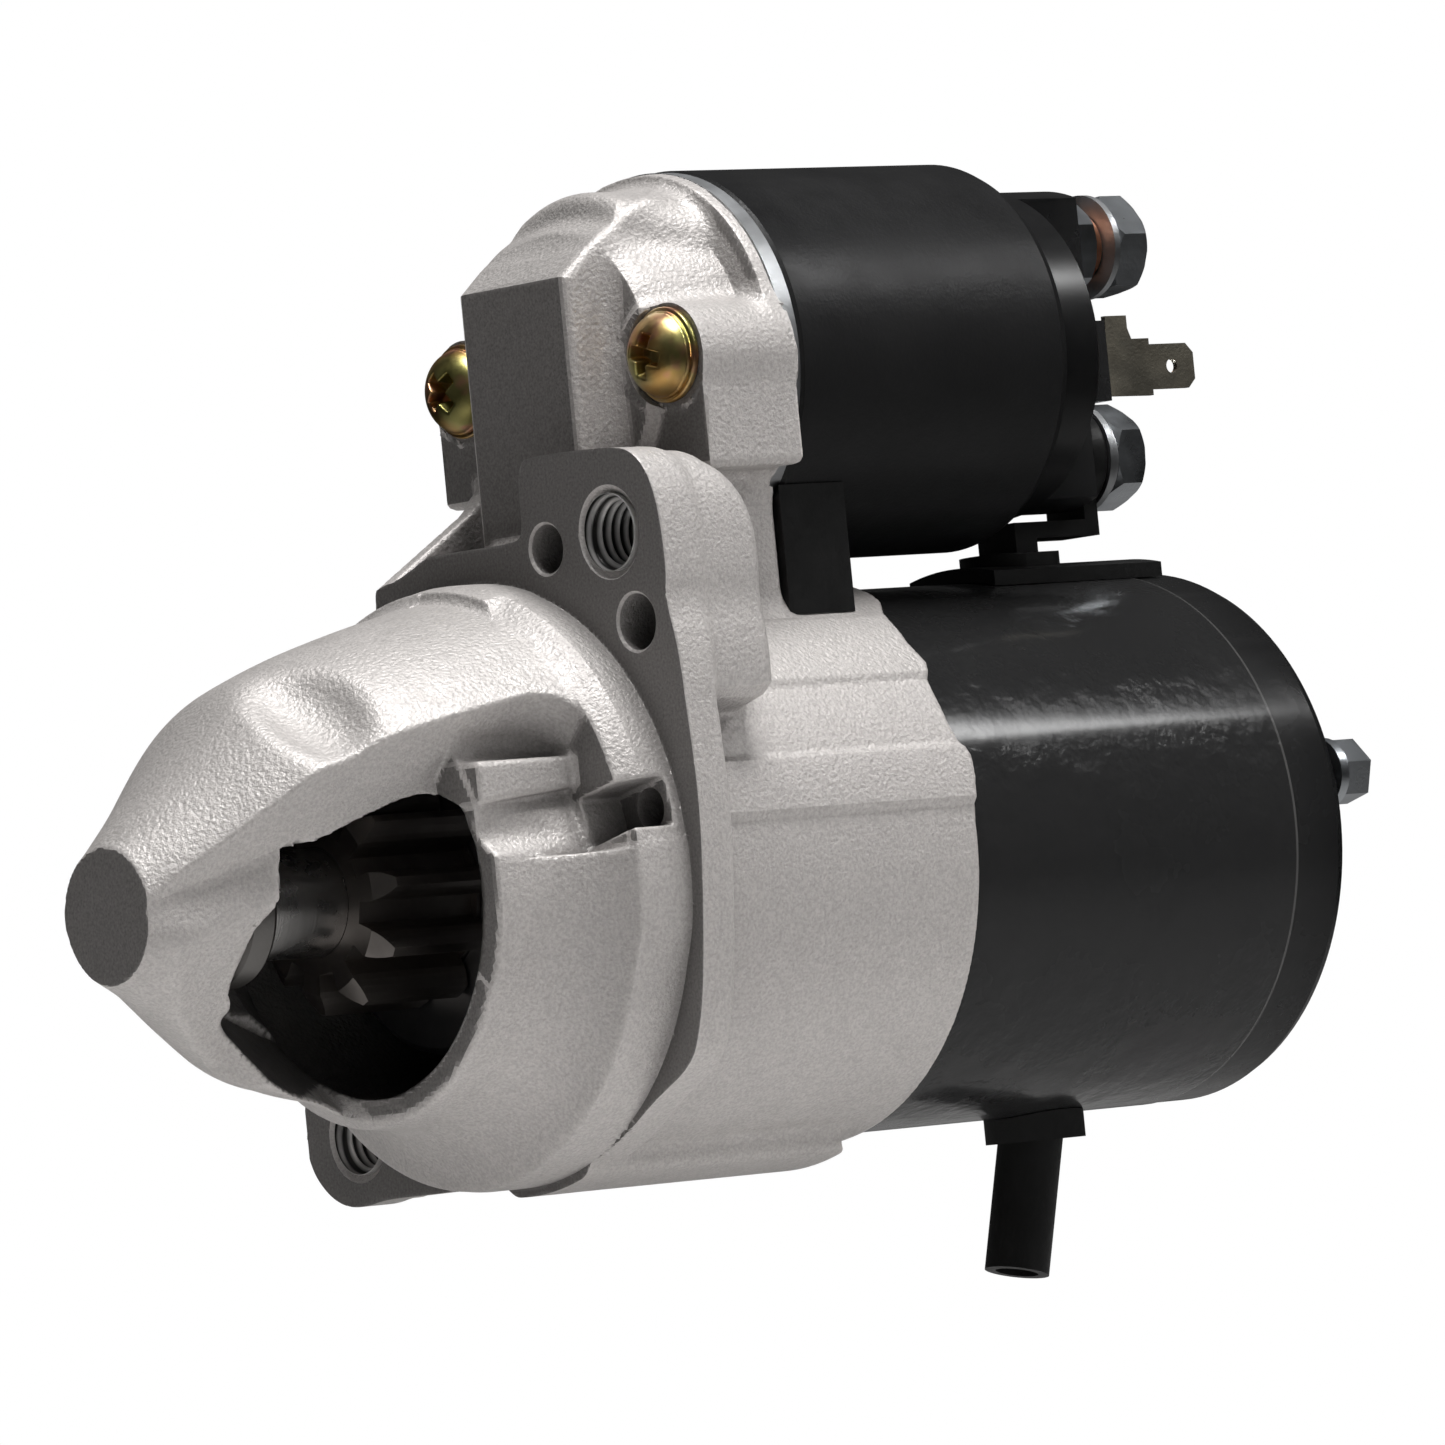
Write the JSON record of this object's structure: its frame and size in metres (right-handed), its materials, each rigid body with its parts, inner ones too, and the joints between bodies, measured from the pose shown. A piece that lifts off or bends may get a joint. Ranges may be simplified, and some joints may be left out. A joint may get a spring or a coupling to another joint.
{
  "type": "starter motor",
  "caption": "Gear-reduction engine starter: cast nose with side window and pinion, flange mount, shift lever, solenoid above, planetary gears and electric motor behind",
  "frame": {"origin": "centre of the locating spigot on the mounting flange face", "axes": "+X along the motor shaft towards the brush end, so the pinion points to -X; +Z from the shaft up to the solenoid axis; +Y completes a right-handed frame"},
  "size_m": [0.1942, 0.0905, 0.1559],
  "materials": {
    "cast_aluminium": "as-cast, fine grain",
    "bronze": "sintered",
    "steel": "ground",
    "rubber": "moulded",
    "lever_steel": "stamped",
    "zinc_steel": "bright zinc plate",
    "gear_steel": "hardened, oiled",
    "spring_steel": "wire",
    "dark_plastic": "moulded",
    "black_paint": "semi-gloss black paint",
    "ferrite": "ground ferrite",
    "lamination_steel": "laminated",
    "copper_winding": "enamelled wire",
    "copper": "drawn copper",
    "phenolic": "moulded",
    "carbon": "pressed",
    "lead_sleeve": "sleeved cable",
    "black_satin": "satin black coating",
    "bobbin_plastic": "moulded",
    "cap_plastic": "moulded",
    "tinned_brass": "tarnished tin plate",
    "yellow_zinc": "yellow zinc plate"
  },
  "bodies": {
    "housing": {"drive_housing": "cast_aluminium", "front_bush": "bronze", "lever_pivot_pin": "steel", "lever_seal": "rubber", "centre_bracket": "cast_aluminium", "centre_bush": "bronze", "ring_gear": "gear_steel", "armature_plate": "zinc_steel", "yoke_tube": "black_paint", "magnets": "ferrite", "rear_bearing": "steel", "rear_cover": "black_paint", "brush_plate": "phenolic", "brushes": "carbon", "brush_springs": "spring_steel", "brush_plate_screws": "zinc_steel", "through_bolts": "zinc_steel", "lead_grommet": "rubber", "motor_lead": "lead_sleeve", "drain_tube": "rubber", "solenoid_case": "black_satin", "solenoid_front_plate": "zinc_steel", "solenoid_coil": "copper_winding", "coil_bobbin": "bobbin_plastic", "fixed_core": "steel", "return_spring": "spring_steel", "solenoid_cap": "cap_plastic", "battery_stud": "copper", "motor_stud": "copper", "terminal_nuts": "zinc_steel", "terminal_washers": "zinc_steel", "terminal_sleeve": "copper", "spade_terminal": "tinned_brass", "solenoid_screws": "yellow_zinc"},
    "armature": {"armature_shaft": "steel", "armature_core": "lamination_steel", "armature_windings": "copper_winding", "commutator": "copper"},
    "output": {"output_shaft": "steel", "planet_pins": "steel", "pilot_bush": "bronze", "stop_collar": "steel", "stop_ring": "zinc_steel"},
    "planet_a": {"planet_gear_a": "steel"},
    "planet_b": {"planet_gear_b": "steel"},
    "planet_c": {"planet_gear_c": "steel"},
    "drive": {"clutch_housing": "steel", "clutch_cover": "zinc_steel", "clutch_rollers": "steel", "drive_sleeve": "steel", "meshing_spring": "spring_steel", "shift_collar": "dark_plastic", "collar_ring": "zinc_steel"},
    "pinion": {"pinion_gear": "gear_steel"},
    "lever": {"shift_lever": "lever_steel"},
    "plunger": {"plunger": "steel", "plunger_hook": "zinc_steel"},
    "contact": {"contact_rod": "zinc_steel", "contact_disc": "copper", "contact_spring": "spring_steel"}
  },
  "joints": [
    {"name": "armature_spin", "type": "hinge", "parent": "housing", "child": "armature", "pos_m": [0.08, 0, 0], "axis": [1, 0, 0], "continuous": true},
    {"name": "output_spin", "type": "hinge", "parent": "housing", "child": "output", "pos_m": [0, 0, 0], "axis": [1, 0, 0], "continuous": true},
    {"name": "planet_a_spin", "type": "hinge", "parent": "output", "child": "planet_a", "pos_m": [0.048, 0, 0.01688], "axis": [1, 0, 0], "continuous": true},
    {"name": "planet_b_spin", "type": "hinge", "parent": "output", "child": "planet_b", "pos_m": [0.048, -0.01461, -0.00844], "axis": [1, 0, 0], "continuous": true},
    {"name": "planet_c_spin", "type": "hinge", "parent": "output", "child": "planet_c", "pos_m": [0.048, 0.01461, -0.00844], "axis": [1, 0, 0], "continuous": true},
    {"name": "plunger_slide", "type": "slide", "parent": "housing", "child": "plunger", "axis": [1, 0, 0], "range_m": [0, 0.01], "stiffness_N_per_m": 300, "springref_m": -0.01, "deforming": ["return_spring"]},
    {"name": "lever_swing", "type": "hinge", "parent": "housing", "child": "lever", "pos_m": [0.025, 0, 0.03894], "axis": [0, 1, 0], "range_deg": [0, 19.3]},
    {"name": "drive_slide", "type": "slide", "parent": "output", "child": "drive", "axis": [-1, 0, 0], "range_m": [0, 0.0131]},
    {"name": "pinion_overrun", "type": "hinge", "parent": "drive", "child": "pinion", "pos_m": [-0.02, 0, 0], "axis": [1, 0, 0], "continuous": true},
    {"name": "contact_slide", "type": "slide", "parent": "housing", "child": "contact", "axis": [1, 0, 0], "range_m": [0, 0.00301]}
  ],
  "couplings": [
    {"joint": "output_spin", "follows": "armature_spin", "ratio": 0.22222},
    {"joint": "planet_a_spin", "follows": "armature_spin", "ratio": -0.62222},
    {"joint": "planet_b_spin", "follows": "armature_spin", "ratio": -0.62222},
    {"joint": "planet_c_spin", "follows": "armature_spin", "ratio": -0.62222},
    {"joint": "lever_swing", "follows": "plunger_slide", "rad_per_m": 33.382},
    {"joint": "drive_slide", "follows": "plunger_slide", "ratio": 1.3},
    {"joint": "contact_slide", "follows": "plunger_slide", "ratio": 0.3}
  ]
}
